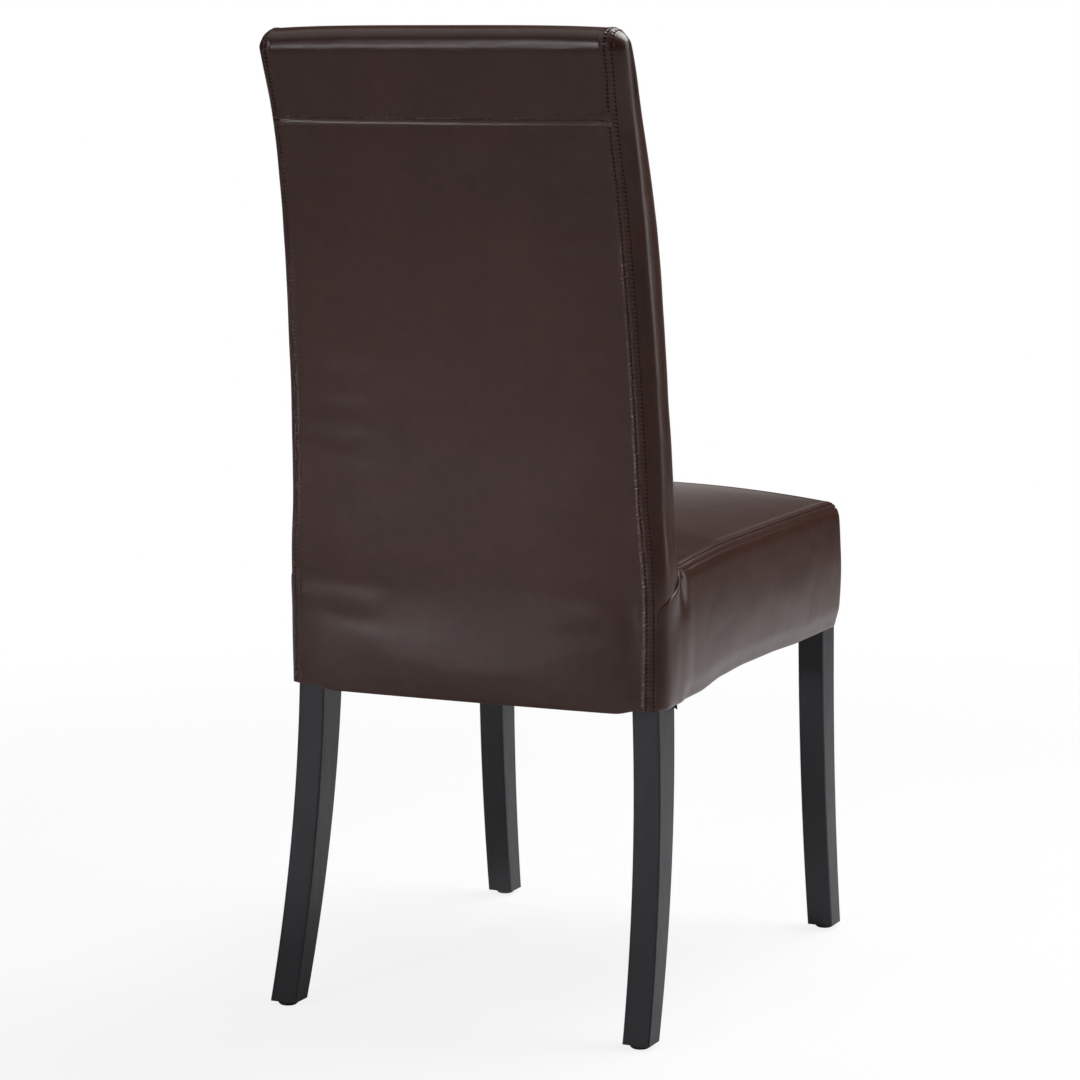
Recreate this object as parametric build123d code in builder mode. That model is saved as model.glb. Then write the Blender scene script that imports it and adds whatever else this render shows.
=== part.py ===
# High-back dining chair: a doweled hardwood frame with two sabre rear posts that run from the
# floor to the top of the back, webbing and foam over it, and a sewn leather cover.
# Millimetres, +Z up, the sitter looks along -Y, +X is the sitter's left. The origin is on the
# floor under the middle of the chair.
import math
import os

from build123d import *

# Rear posts: a sabre leg below, the upright of the back above
leg_width = 29.5
leg_arris = 1.5
foot_height = 5.0
rear_leg_splay = 5.4
rear_kick = 50.9
rear_foot_depth = 27.6
rear_leg_radius = 1090.0
post_lean = 1.96
post_depth = 42.0
back_post_depth = 24.0
post_taper_rise = 48.0
post_taper_radius = 60.0
post_top_drop = 32.0

# Front legs
front_leg_inset = 2.8
front_kick = 25.0
front_foot_depth = 28.6
front_leg_radius = 1970.0
front_leg_lean = 0.5
front_leg_depth = 37.8
leg_head_drop = 1.0

# Seat frame, stacked up from the hem of the cover
side_hem = 351.0
back_hem_drop = 17.0
rail_tuck = 3.0
rail_height = 61.0
rail_thickness = 20.0
rail_setback = 0.5
block_near = 40.0
block_far = 80.0
block_lift = 17.0
block_height = 30.0

# Back frame, placed by the distance along the back from the hem, or down from the posts' top
back_lower_rail_at = 148.0
back_middle_rail_drop = 273.0
back_top_rail_drop = 36.0
back_rail_height = 46.0
back_rail_thickness = 20.0
back_padding = 7.0

# Line of the outside back from the hem up: the rise of each run, its lean and the bends between
back_rear = 221.2
back_rise_hem = 96.0
back_rise_low = 222.0
back_rise_high = 219.0
back_rise_top = 134.0
back_lean_low = 3.5
back_lean_high = 7.8
back_lean_top = 18.5
back_radius_hem = 900.0
back_radius_low = 2100.0
back_radius_high = 1000.0

# Line of the inside back from the seat rails up
inside_thickness = 46.2
inside_rise_low = 145.0
inside_top_fall = 140.0
inside_lean = 5.4
inside_top_lean = 25.5
inside_radius_low = 500.0
inside_radius_high = 640.0
inside_crown = 8.0
inside_tuck = 19.0
top_roll_radius = 17.5

# The back from behind
back_side_padding = 2.1
back_taper = 1.62
back_edge_radius = 9.0
strip_return = 6.0
yoke_drop = 87.0
yoke_cut_tilt = 26.0

# Seat cover
leather = 1.3
seat_front = -288.8
seat_half_front = 218.0
seat_half_rear = 209.6
front_padding = 8.2
seat_padding = 76.0
seat_front_rise = 8.0
seat_crown = 18.0
seat_rear_rise = 10.0
seat_shoulder = 60.0
seat_crown_back = 219.0
seat_edge_radius = 13.0
seat_corner_radius = 16.0
seam_drop = 9.0
hem_drop = 10.0
hem_drop_from = 175.0
hem_drop_run = 70.0
hem_radius = 200.0

# The boxing's folded end over the side of the back, measured in from the rear face
fold_start = 70.0
fold_shoulder = 36.0
fold_neck = 27.0
fold_end = 13.0
fold_shoulder_drop = 12.0
fold_neck_drop = 32.0
fold_end_drop = 37.0
fold_radius = 16.0

# Webbing, sheet and fits
web_width = 50.0
web_thickness = 1.5
web_pitch_across = 74.0
web_pitch_along = 92.0
web_rows = 4
back_web_first = 205.0
back_web_pitch = 78.0
back_web_rows = 5
web_end_margin = 4.0
cover_thickness = 0.6
cover_margin = 3.0
soft_gap = 0.3
fit_gap = 0.15

# Fasteners and feet
dowel_diameter = 10.0
dowel_length = 40.0
dowel_spacing = 28.0
dowel_stagger = 12.0
back_dowel_spacing = 24.0
bore_end_gap = 1.0
screw_diameter = 4.5
screw_head_diameter = 9.0
screw_head_height = 4.0
screw_bite = 14.0
screw_sink = 8.0
glide_radius = 10.5
glide_flat_radius = 6.5
glide_rim = 2.0
glide_bulge = 0.8
nail_diameter = 2.6
nail_length = 18.0
nail_seat = 3.0

# Levels and depths that several pieces share
back_hem = side_hem - back_hem_drop
rail_bottom = side_hem + rail_tuck
rail_top = rail_bottom + rail_height
rail_middle = rail_bottom + rail_height / 2
rear_rail_bottom = back_hem + rail_tuck
seat_edge = rail_top + seat_padding
seat_seam = seat_edge - seam_drop
post_back = back_rear - back_padding
post_front = post_back - post_depth
rear_foot_back = post_back + rear_kick
rear_foot_outer = seat_half_rear + rear_leg_splay
back_half_width = rear_foot_outer + back_side_padding
front_leg_face = seat_front + front_padding
front_leg_back = front_leg_face + front_leg_depth
front_foot_front = front_leg_face - front_kick
front_foot_outer = seat_half_front - front_leg_inset
front_rail_face = front_leg_face + rail_setback
front_rail_inner = front_rail_face + rail_thickness
rear_rail_face = post_back - rail_setback
rear_rail_inner = rear_rail_face - rail_thickness
seat_rear = back_rear - back_padding
frame_front = back_padding + back_post_depth
web_layer = frame_front + 3 * soft_gap + web_thickness
web_top = rail_top + 2 * web_thickness
skin = leather + soft_gap
sides = {"left": 1, "right": -1}
inner_side = {1: Keep.BOTTOM, -1: Keep.TOP}
outer_side = {1: Keep.TOP, -1: Keep.BOTTOM}
pieces = {}


def lean_in(outer, z, lean):
    return outer - z * math.tan(math.radians(lean))


def across(width, lean):
    return width / math.cos(math.radians(lean))


def post_outer(z):
    return lean_in(rear_foot_outer, z, post_lean)


def post_inner(z):
    return post_outer(z) - across(leg_width, post_lean)


def front_leg_outer(z):
    return lean_in(front_foot_outer, z, front_leg_lean)


def front_leg_inner(z):
    return front_leg_outer(z) - across(leg_width, front_leg_lean)


def side_rail_outer(y):
    front = front_leg_outer(rail_middle) - rail_setback
    rear = post_outer(rail_middle) - rail_setback
    return front + (rear - front) * (y - front_leg_back) / (post_front - front_leg_back)


def side_rail_inner(y):
    return side_rail_outer(y) - rail_thickness


def seat_half(y):
    share = (y - seat_front) / (seat_rear - seat_front)
    return seat_half_front + (seat_half_rear - seat_half_front) * share


def leaning_plane(outer, lean, side):
    # Upright plane that leans in towards the middle: its X runs along +Y, its Z towards +X.
    angle = math.radians(lean)
    return Plane(
        origin=(side * outer, 0, 0),
        x_dir=(0, 1, 0),
        z_dir=(math.cos(angle), 0, side * math.sin(angle)),
    )


def section_plane(y):
    return Plane(origin=(0, y, 0), x_dir=(1, 0, 0), z_dir=(0, -1, 0))


def shrink(corners, amount):
    # Corners of a closed outline whose every edge is moved in by the same amount.
    moved = []
    for here, corner in enumerate(corners):
        before = (corner - corners[here - 1]).normalized()
        after = (corners[(here + 1) % len(corners)] - corner).normalized()
        along = (before + after).normalized()
        moved.append(corner + along.rotate(Axis.Z, 90) * (amount / along.dot(before)))
    return moved


def climb(lean):
    return Vector(0, 1).rotate(Axis.Z, -lean)


def rise_by(height, lean):
    return climb(lean) * (height / math.cos(math.radians(lean)))


def back_corners(inward):
    # Corners of the outside back's line, moved a distance in towards the sitter.
    leans = (0, back_lean_low, back_lean_high, back_lean_top)
    rises = (back_rise_hem, back_rise_low, back_rise_high, back_rise_top)
    corner = Vector(back_rear, back_hem)
    corners = [corner + Vector(-inward, 0)]
    for step, (rise, lean) in enumerate(zip(rises, leans)):
        corner = corner + rise_by(rise, lean)
        turn = leans[min(step + 1, len(leans) - 1)] - lean
        ahead = climb(lean + turn / 2).rotate(Axis.Z, 90)
        corners.append(corner + ahead * (inward / math.cos(math.radians(turn / 2))))
    return corners


def back_radii(inward):
    return [radius + inward for radius in (back_radius_hem, back_radius_low, back_radius_high)]


with BuildLine() as back_line:
    FilletPolyline(*back_corners(0), radius=back_radii(0))

post_top_at = back_line.wire().length - post_top_drop
yoke_at = back_line.wire().length - yoke_drop
back_rails = {
    "back_lower_rail": back_lower_rail_at,
    "back_middle_rail": post_top_at - back_middle_rail_drop,
    "back_top_rail": post_top_at - back_top_rail_drop,
}


def back_plane(distance, inward):
    # Plane on the back at a distance up from the hem: X across, Y up the back, Z to the sitter.
    path = back_line.wire()
    point = path.position_at(distance, position_mode=PositionMode.LENGTH)
    up = path.tangent_at(distance, position_mode=PositionMode.LENGTH)
    ahead = Vector(0, -up.Y, up.X)
    on_line = Vector(0, point.X, point.Y)
    return Plane(origin=on_line + ahead * inward, x_dir=(1, 0, 0), z_dir=ahead)


def back_outline(plane, inset, crown, bottom):
    # Side outline of the whole upholstered back, drawn on one upright plane.
    rear = back_corners(0)
    rear[0] = Vector(back_rear, bottom)
    low = Vector(back_rear - inside_thickness - crown, rail_top + inside_rise_low)
    high = low + rise_by(rear[-1].Y - inside_top_fall - low.Y, inside_lean)
    over = climb((inside_top_lean + back_lean_top) / 2).rotate(Axis.Z, 90)
    up = climb(inside_top_lean)
    top = high + up * ((rear[-1] - high).cross(over).Z / up.cross(over).Z)
    corners = [*rear, top, high, low, Vector(low.X, bottom)]
    roll = top_roll_radius - inset
    front_radii = [inside_radius_high - inset, inside_radius_low - inset]
    radii = [0, *back_radii(inset), roll, roll, *front_radii, 0]
    with BuildSketch(plane) as outline:
        with BuildLine():
            FilletPolyline(*shrink(corners, inset), radius=radii, close=True)
        make_face()
    return outline.sketch.face()


def back_form(inset, bottom):
    # The upholstered back as one crowned body, its surface moved in by the inset.
    half = back_half_width - inset
    outlines = [
        back_outline(leaning_plane(half, back_taper, -1), inset, 0, bottom),
        back_outline(Plane.YZ, inset, inside_crown, bottom),
        back_outline(leaning_plane(half, back_taper, 1), inset, 0, bottom),
    ]
    with BuildPart() as form:
        loft(outlines)
        cheeks = [form.faces().sort_by(Axis.X)[end] for end in (0, -1)]
        rims = [edge for cheek in cheeks for edge in cheek.edges()]
        floor_edges = form.edges().group_by(Axis.Z)[0]
        fillet([rim for rim in rims if rim not in floor_edges], radius=back_edge_radius - inset)
    return form.part


def seat_outline(y, rise, inset, bottom):
    half = seat_half(y) - inset
    edge = seat_edge - inset
    with BuildSketch(section_plane(y)) as outline:
        with BuildLine():
            Polyline((-half, edge), (-half, bottom), (half, bottom), (half, edge))
            ThreePointArc((half, edge), (0, edge + rise), (-half, edge))
        make_face()
    return outline.sketch.face()


def seat_form(inset, bottom):
    # The upholstered seat as one crowned body, its surface moved in by the inset.
    stations = (
        (seat_front + inset, seat_front_rise),
        (seat_front + seat_shoulder, (seat_front_rise + seat_crown) / 2),
        (seat_front + seat_crown_back, seat_crown),
        (seat_rear, seat_rear_rise),
    )
    with BuildPart() as form:
        loft([seat_outline(y, rise, inset, bottom) for y, rise in stations])
        front = form.faces().sort_by(Axis.Y)[0]
        corners = [front.edges().sort_by(Axis.X)[end] for end in (0, -1)]
        fillet(corners, radius=seat_corner_radius - inset)
        top = form.faces().sort_by(Axis.Z)[-1]
        rear_edges = form.faces().sort_by(Axis.Y)[-1].edges()
        rims = [rim for rim in top.edges() if rim not in rear_edges]
        fillet(rims, radius=seat_edge_radius - inset)
    return form.part


open_bottom = back_hem / 2
back_outer = back_form(0, back_hem)
back_lining = back_form(leather, open_bottom)
back_filling = back_form(skin, open_bottom)
back_clear = back_form(-soft_gap, back_hem)
seat_outer = seat_form(0, side_hem - hem_drop)
seat_lining = seat_form(leather, open_bottom)
seat_filling = seat_form(skin, open_bottom)


# Dowels: each is a place on the seam of a joint and the way the rod runs
def dowel_places():
    places = []
    rod_offsets = (-dowel_spacing / 2, dowel_spacing / 2)
    front_x = side_rail_outer(front_leg_back) - rail_thickness / 2
    rear_x = side_rail_outer(post_front) - rail_thickness / 2
    front_y = front_rail_face + rail_thickness / 2
    rear_y = rear_rail_face - rail_thickness / 2
    for side in sides.values():
        for step in rod_offsets:
            low = rail_middle + step - dowel_stagger / 2
            high = rail_middle + step + dowel_stagger / 2
            places.append(((side * front_x, front_leg_back, low), (0, 1, 0)))
            places.append(((side * rear_x, post_front, low), (0, 1, 0)))
            places.append(((side * front_leg_inner(high), front_y, high), (1, 0, 0)))
            places.append(((side * post_inner(high), rear_y, high), (1, 0, 0)))
        for distance in back_rails.values():
            plane = back_plane(distance, back_padding + back_post_depth / 2)
            for step in (-back_dowel_spacing / 2, back_dowel_spacing / 2):
                point = plane.from_local_coords(Vector(0, step, 0))
                places.append(((side * post_inner(point.Z), point.Y, point.Z), (1, 0, 0)))
    return places


def dowel_rods(wider, longer):
    with BuildPart() as rods:
        for place, run in dowel_places():
            with Locations(Plane(origin=place, z_dir=run)):
                Cylinder(dowel_diameter / 2 + wider, dowel_length + longer)
    return rods.part


dowel_bores = dowel_rods(fit_gap, 2 * bore_end_gap)

with BuildPart() as rail_dowels:
    add(dowel_rods(0, 0))
pieces["rail_dowels"] = rail_dowels


# Feet: a domed glide on a nail under each leg
rear_foot_middle = rear_foot_back - rear_foot_depth / 2
front_foot_middle = front_foot_front + front_foot_depth / 2
foot_places = {
    "rear": (post_outer(foot_height) - leg_width / 2, rear_foot_middle),
    "front": (front_leg_outer(foot_height) - leg_width / 2, front_foot_middle),
}
nail_bottom = foot_height - nail_seat


def nail_shanks(wider):
    with BuildPart() as shanks:
        for x, y in foot_places.values():
            with Locations((x, y, nail_bottom), (-x, y, nail_bottom)):
                bottom = (Align.CENTER, Align.CENTER, Align.MIN)
                Cylinder(nail_diameter / 2 + wider, nail_length, align=bottom)
    return shanks.part


nail_bores = nail_shanks(fit_gap)

with BuildPart() as glide_nails:
    add(nail_shanks(0))
pieces["glide_nails"] = glide_nails

for end, (foot_x, foot_y) in foot_places.items():
    for side_name, side in sides.items():
        foot = Plane(origin=(side * foot_x, foot_y, 0), x_dir=(1, 0, 0), z_dir=(0, -1, 0))
        rim = foot_height - glide_rim
        with BuildPart() as glide:
            with BuildSketch(foot):
                with BuildLine():
                    Polyline((glide_flat_radius, 0), (0, 0), (0, foot_height), (glide_radius, foot_height))
                    Line((glide_radius, foot_height), (glide_radius, rim))
                    SagittaArc((glide_flat_radius, 0), (glide_radius, rim), -glide_bulge)
                make_face()
            revolve(axis=Axis(foot.origin, (0, 0, 1)))
            add(nail_bores, mode=Mode.SUBTRACT)
        pieces[f"glide_{end}_{side_name}"] = glide


def on_back(distance, inward):
    point = back_plane(distance, inward).origin
    return Vector(point.Y, point.Z)


def sweep_top(foot, upright_y, radius):
    # Where a leg's swept edge of that radius runs out into its upright edge.
    out = abs(foot.X - upright_y)
    return Vector(upright_y, min(math.sqrt(out * (2 * radius - out)), rail_middle))


# Rear posts, each cut from one board: sabre leg, seat joint, then the swept upright of the back
post_taper_at = rail_top + post_taper_rise - back_hem
rear_heel = Vector(rear_foot_back, 0)
rear_toe = rear_heel - Vector(rear_foot_depth, 0)
post_top = Plane(origin=back_plane(post_top_at, 0).origin, z_dir=back_plane(post_top_at, 0).y_dir)
post_upright = [
    sweep_top(rear_toe, post_front, rear_leg_radius),
    Vector(post_front, rail_top),
    on_back(post_taper_at, frame_front),
    *back_corners(frame_front)[2:],
    *back_corners(back_padding)[:0:-1],
    sweep_top(rear_heel, post_back, rear_leg_radius),
]
post_radii = [
    post_taper_radius,
    post_taper_radius,
    *back_radii(frame_front)[1:],
    0,
    0,
    *back_radii(back_padding)[::-1],
]
for side_name, side in sides.items():
    with BuildPart() as rear_post:
        with BuildSketch(Plane.YZ):
            with BuildLine():
                FilletPolyline(*post_upright, radius=post_radii)
                TangentArc(post_upright[0], rear_toe, tangent=(0, -1))
                TangentArc(post_upright[-1], rear_heel, tangent=(0, -1))
                Line(rear_heel, rear_toe)
            make_face()
        extrude(amount=side * rear_foot_outer)
        split(bisect_by=leaning_plane(rear_foot_outer, post_lean, side), keep=inner_side[side])
        split(bisect_by=leaning_plane(post_inner(0), post_lean, side), keep=outer_side[side])
        cheeks = rear_post.faces().sort_by(SortBy.AREA)[-2:]
        fillet([edge for cheek in cheeks for edge in cheek.edges()], radius=leg_arris)
        split(bisect_by=post_top, keep=Keep.BOTTOM)
        split(bisect_by=Plane.XY.offset(foot_height), keep=Keep.TOP)
        add(dowel_bores, mode=Mode.SUBTRACT)
        add(nail_bores, mode=Mode.SUBTRACT)
    pieces[f"rear_post_{side_name}"] = rear_post

# Front legs: a straight head between the rails and a slight kick to the toe
for side_name, side in sides.items():
    with BuildPart() as front_leg:
        with BuildSketch(Plane.YZ):
            with BuildLine():
                head_top = rail_top - leg_head_drop
                toe = Vector(front_foot_front, 0)
                heel = toe + Vector(front_foot_depth, 0)
                front_bend = sweep_top(toe, front_leg_face, front_leg_radius)
                back_bend = sweep_top(heel, front_leg_back, front_leg_radius)
                TangentArc(front_bend, toe, tangent=(0, -1))
                TangentArc(back_bend, heel, tangent=(0, -1))
                Line(toe, heel)
                Polyline(front_bend, (front_leg_face, head_top), (front_leg_back, head_top), back_bend)
            make_face()
        extrude(amount=side * front_foot_outer)
        split(bisect_by=leaning_plane(front_foot_outer, front_leg_lean, side), keep=inner_side[side])
        split(bisect_by=leaning_plane(front_leg_inner(0), front_leg_lean, side), keep=outer_side[side])
        cheeks = front_leg.faces().sort_by(SortBy.AREA)[-2:]
        fillet([edge for cheek in cheeks for edge in cheek.edges()], radius=leg_arris)
        split(bisect_by=Plane.XY.offset(foot_height), keep=Keep.TOP)
        add(dowel_bores, mode=Mode.SUBTRACT)
        add(nail_bores, mode=Mode.SUBTRACT)
    pieces[f"front_leg_{side_name}"] = front_leg


# Corner blocks: braces screwed across each corner, clear of the leg
def block_corners(end, side):
    cross_y, inward = {"front": (front_rail_inner, 1), "rear": (rear_rail_inner, -1)}[end]
    corner_x = side_rail_inner(cross_y)
    near_y = cross_y + inward * block_near
    far_y = cross_y + inward * block_far
    corners = [
        (corner_x - block_near, cross_y),
        (corner_x - block_far, cross_y),
        (side_rail_inner(far_y), far_y),
        (side_rail_inner(near_y), near_y),
    ]
    return [Vector(side * x, y) for x, y in corners]


def block_screws(wider, head_height):
    height = rail_bottom + block_lift + block_height / 2
    grip = (block_far - block_near) / 2 - screw_sink
    low = (Align.CENTER, Align.CENTER, Align.MIN)
    with BuildPart() as screws:
        for end in ("front", "rear"):
            for side in sides.values():
                cross_near, cross_far, side_far, side_near = block_corners(end, side)
                seats = (
                    ((cross_near + cross_far) / 2, (0, side_far.Y - cross_far.Y, 0)),
                    ((side_near + side_far) / 2, (cross_far.X - side_far.X, 0, 0)),
                )
                for seat, run in seats:
                    plane = Plane(origin=(seat.X, seat.Y, height), z_dir=run)
                    with Locations(plane.offset(-screw_bite)):
                        Cylinder(screw_diameter / 2 + wider, screw_bite + grip, align=low)
                    with Locations(plane.offset(grip)):
                        Cylinder(screw_head_diameter / 2 + wider, head_height, align=low)
    return screws.part


screw_bores = block_screws(fit_gap, block_far / 2)

with BuildPart() as corner_block_screws:
    add(block_screws(0, screw_head_height))
pieces["corner_block_screws"] = corner_block_screws

for end in ("front", "rear"):
    for side_name, side in sides.items():
        with BuildPart() as corner_block:
            with BuildSketch(Plane.XY.offset(rail_bottom + block_lift)):
                with BuildLine():
                    Polyline(*block_corners(end, side), close=True)
                make_face()
            extrude(amount=block_height)
            add(screw_bores, mode=Mode.SUBTRACT)
        pieces[f"corner_block_{end}_{side_name}"] = corner_block

# Seat rails between the legs
with BuildPart() as front_rail:
    with BuildSketch(Plane.XY.offset(rail_bottom)):
        with Locations((0, front_rail_face)):
            Rectangle(2 * front_foot_outer, rail_thickness, align=(Align.CENTER, Align.MIN))
    extrude(amount=rail_height)
    for side, keep in inner_side.items():
        split(bisect_by=leaning_plane(front_leg_inner(0), front_leg_lean, side), keep=keep)
    add(dowel_bores, mode=Mode.SUBTRACT)
    add(screw_bores, mode=Mode.SUBTRACT)
pieces["front_rail"] = front_rail

with BuildPart() as rear_rail:
    with BuildSketch(Plane.XY.offset(rear_rail_bottom)):
        with Locations((0, rear_rail_face)):
            Rectangle(2 * rear_foot_outer, rail_thickness, align=(Align.CENTER, Align.MAX))
    extrude(amount=rail_top - rear_rail_bottom)
    for side, keep in inner_side.items():
        split(bisect_by=leaning_plane(post_inner(0), post_lean, side), keep=keep)
    add(dowel_bores, mode=Mode.SUBTRACT)
    add(screw_bores, mode=Mode.SUBTRACT)
pieces["rear_rail"] = rear_rail

for side_name, side in sides.items():
    with BuildPart() as side_rail:
        with BuildSketch(Plane.XY.offset(rail_bottom)):
            with BuildLine():
                Polyline(
                    (side * side_rail_outer(front_leg_back), front_leg_back),
                    (side * side_rail_outer(post_front), post_front),
                    (side * side_rail_inner(post_front), post_front),
                    (side * side_rail_inner(front_leg_back), front_leg_back),
                    close=True,
                )
            make_face()
        extrude(amount=rail_height)
        add(dowel_bores, mode=Mode.SUBTRACT)
        add(screw_bores, mode=Mode.SUBTRACT)
    pieces[f"side_rail_{side_name}"] = side_rail

# Back rails between the posts
for name, distance in back_rails.items():
    with BuildPart() as back_rail:
        with BuildSketch(back_plane(distance, back_padding + back_post_depth / 2)):
            Rectangle(2 * rear_foot_outer, back_rail_height)
        extrude(amount=back_rail_thickness / 2, both=True)
        for side, keep in inner_side.items():
            split(bisect_by=leaning_plane(post_inner(0), post_lean, side), keep=keep)
        add(dowel_bores, mode=Mode.SUBTRACT)
    pieces[name] = back_rail

# Webbing: rows from front to rear and from side to side of the seat, and across the back
with BuildPart() as seat_webbing_lengthwise:
    with BuildSketch(Plane.XY.offset(rail_top)):
        length = rear_rail_face - front_rail_face - 2 * web_end_margin
        with Locations((0, (rear_rail_face + front_rail_face) / 2)):
            with GridLocations(web_pitch_across, 0, web_rows, 1):
                Rectangle(web_width, length)
    extrude(amount=web_thickness)
pieces["seat_webbing_lengthwise"] = seat_webbing_lengthwise

with BuildPart() as seat_webbing_crosswise:
    middle = (front_leg_back + post_front) / 2
    for row in range(web_rows):
        y = middle + (row - (web_rows - 1) / 2) * web_pitch_along
        half = side_rail_outer(y + web_width / 2) - web_end_margin
        with BuildSketch(Plane.XY.offset(rail_top + web_thickness)):
            with Locations((0, y)):
                Rectangle(2 * half, web_width)
        extrude(amount=web_thickness)
pieces["seat_webbing_crosswise"] = seat_webbing_crosswise

with BuildPart() as back_webbing:
    for row in range(back_web_rows):
        plane = back_plane(back_web_first + row * back_web_pitch, frame_front + soft_gap)
        half = post_outer(plane.origin.Z + web_width / 2) - web_end_margin
        with BuildSketch(plane):
            Rectangle(2 * half, web_width)
        extrude(amount=web_thickness)
pieces["back_webbing"] = back_webbing


# Foam: the back's front pad wraps the frame's sides and top, a thin pad covers its rear
def back_slab(front_inward, rear_inward):
    # Upright slab between two lines of the back, as wide as the posts, up to the posts' top.
    front = back_corners(front_inward)
    rear = back_corners(rear_inward)
    corners = [
        Vector(front[0].X, open_bottom),
        *front[1:],
        *rear[:0:-1],
        Vector(rear[0].X, open_bottom),
    ]
    radii = [0, *back_radii(front_inward), 0, 0, *back_radii(rear_inward)[::-1], 0]
    with BuildPart() as slab:
        with BuildSketch(Plane.YZ):
            with BuildLine():
                FilletPolyline(*corners, radius=radii, close=True)
            make_face()
        extrude(amount=rear_foot_outer, both=True)
        for side, keep in inner_side.items():
            split(bisect_by=leaning_plane(rear_foot_outer + soft_gap, post_lean, side), keep=keep)
        split(bisect_by=post_top.offset(soft_gap), keep=Keep.BOTTOM)
    return slab.part


with BuildPart() as back_foam:
    add(back_filling)
    add(back_slab(web_layer, -back_padding), mode=Mode.SUBTRACT)
    taper_end = on_back(post_taper_at, frame_front)
    split(bisect_by=Plane.XY.offset(taper_end.Y + soft_gap), keep=Keep.TOP)
pieces["back_foam"] = back_foam

with BuildPart() as back_rear_pad:
    add(back_filling)
    add(back_slab(back_padding - soft_gap, -back_padding), mode=Mode.INTERSECT)
    split(bisect_by=Plane.XY.offset(rear_rail_bottom), keep=Keep.TOP)
pieces["back_rear_pad"] = back_rear_pad

with BuildPart() as seat_foam:
    add(seat_filling)
    split(bisect_by=Plane.XY.offset(web_top + soft_gap), keep=Keep.TOP)
    split(bisect_by=section_plane(post_front - soft_gap), keep=Keep.TOP)
    add(back_clear, mode=Mode.SUBTRACT)
pieces["seat_foam"] = seat_foam

with BuildPart() as rail_padding:
    add(seat_filling)
    split(bisect_by=Plane.XY.offset(rail_bottom), keep=Keep.TOP)
    split(bisect_by=Plane.XY.offset(rail_top), keep=Keep.BOTTOM)
    split(bisect_by=section_plane(back_rear - fold_end), keep=Keep.TOP)
    with BuildSketch(Plane.XY.offset(rail_bottom)):
        front_x = front_leg_outer(rail_bottom) + soft_gap
        rear_x = post_outer(rail_bottom) + soft_gap
        with BuildLine():
            flank = Polyline(
                (0, front_leg_face - soft_gap),
                (front_x, front_leg_face - soft_gap),
                (front_x, front_leg_back),
                (rear_x, post_front),
                (rear_x, back_rear),
                (0, back_rear),
            )
            mirror(flank, about=Plane.YZ)
        make_face()
    extrude(amount=rail_height, mode=Mode.SUBTRACT)
pieces["rail_padding"] = rail_padding


# Leather over the seat: a boxing band round front and sides, and the crowned top panel
def side_prism(corners, radii):
    with BuildPart() as prism:
        with BuildSketch(Plane.YZ):
            with BuildLine():
                FilletPolyline(*corners, radius=radii, close=True)
            make_face()
        extrude(amount=2 * seat_half_front, both=True)
    return prism.part


ahead = seat_front - seat_shoulder
boxing_side = side_prism(
    [
        (ahead, open_bottom),
        (ahead, seat_seam),
        (back_rear - fold_start, seat_seam),
        (back_rear - fold_shoulder, seat_seam - fold_shoulder_drop),
        (back_rear - fold_neck, seat_seam - fold_neck_drop),
        (back_rear - fold_end, seat_seam - fold_end_drop),
        (back_rear - fold_end, open_bottom),
    ],
    [0, 0, fold_radius, fold_radius, fold_radius, 0, 0],
)
hem_start = seat_rear - hem_drop_from
under_hem = side_prism(
    [
        (ahead, open_bottom),
        (ahead, side_hem),
        (hem_start, side_hem),
        (hem_start + hem_drop_run, side_hem - hem_drop),
        (hem_start + hem_drop_run, open_bottom),
    ],
    [0, 0, hem_radius, 0, 0],
)

with BuildPart() as seat_shell:
    add(seat_outer)
    add(seat_lining, mode=Mode.SUBTRACT)

with BuildPart() as seat_top_panel:
    add(seat_shell.part)
    add(boxing_side, mode=Mode.SUBTRACT)
    beside_back = back_rear - inside_thickness + back_edge_radius / 2
    split(bisect_by=section_plane(beside_back), keep=Keep.TOP)
    add(back_clear, mode=Mode.SUBTRACT)
pieces["seat_top_panel"] = seat_top_panel

with BuildPart() as seat_boxing:
    add(seat_shell.part)
    add(boxing_side, mode=Mode.INTERSECT)
    add(under_hem, mode=Mode.SUBTRACT)
pieces["seat_boxing"] = seat_boxing

# Leather over the back: side strips that wrap both edges, rear panel, yoke and inside panel
with BuildPart() as back_shell:
    add(back_outer)
    add(back_lining, mode=Mode.SUBTRACT)

strip_seam = back_half_width - strip_return
for side_name, side in sides.items():
    with BuildPart() as side_strip:
        add(back_shell.part)
        split(bisect_by=leaning_plane(strip_seam, back_taper, side), keep=outer_side[side])
        add(boxing_side, mode=Mode.SUBTRACT)
    pieces[f"back_side_strip_{side_name}"] = side_strip

with BuildPart() as back_cover:
    add(back_shell.part)
    for side, keep in inner_side.items():
        split(bisect_by=leaning_plane(strip_seam, back_taper, side), keep=keep)

tilt = math.radians(yoke_cut_tilt)
yoke_cut = Plane(
    origin=back_plane(yoke_at, 0).origin,
    x_dir=(1, 0, 0),
    z_dir=(0, math.cos(tilt), math.sin(tilt)),
)
with BuildPart() as outside_back_yoke:
    add(back_cover.part)
    split(bisect_by=yoke_cut, keep=Keep.TOP)
pieces["outside_back_yoke"] = outside_back_yoke

with BuildPart() as below_yoke:
    add(back_cover.part)
    split(bisect_by=yoke_cut, keep=Keep.BOTTOM)

with BuildPart() as outside_back_panel:
    add(below_yoke.solids().sort_by(Axis.Y)[-1])
pieces["outside_back_panel"] = outside_back_panel

with BuildPart() as inside_back_panel:
    add(below_yoke.solids().sort_by(Axis.Y)[0])
    split(bisect_by=Plane.XY.offset(rail_top + inside_tuck), keep=Keep.TOP)
pieces["inside_back_panel"] = inside_back_panel

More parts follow.
